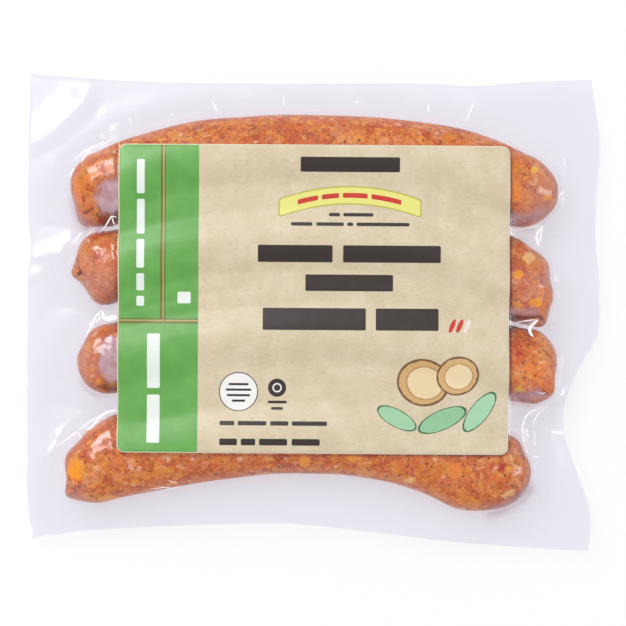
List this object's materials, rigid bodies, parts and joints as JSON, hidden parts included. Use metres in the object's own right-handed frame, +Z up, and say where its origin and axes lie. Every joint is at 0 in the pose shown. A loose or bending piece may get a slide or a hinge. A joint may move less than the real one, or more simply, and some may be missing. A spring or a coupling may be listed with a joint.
{
  "type": "vacuum-sealed pack of smoked sausages",
  "caption": "Clear vacuum-sealed pack of curved smoked sausages side by side, with a flat welded border and a large green and kraft paper label on top; lies flat, label up.",
  "frame": {"origin": "middle of the pack's outline, on the surface it lies on", "axes": "+Z up out of the label, +X along the sausages towards the right of the label as read, +Y towards the label's top"},
  "size_m": [0.2106, 0.1748, 0.0279],
  "materials": {
    "film": "clear, glossy, with fine wrinkles",
    "sausage": "smoked casing, moist, with pale yellow and dark flecks",
    "label": "printed paper, satin"
  },
  "bodies": {
    "root": {"sealed_pack": "film", "label": "label"}
  },
  "joints": []
}
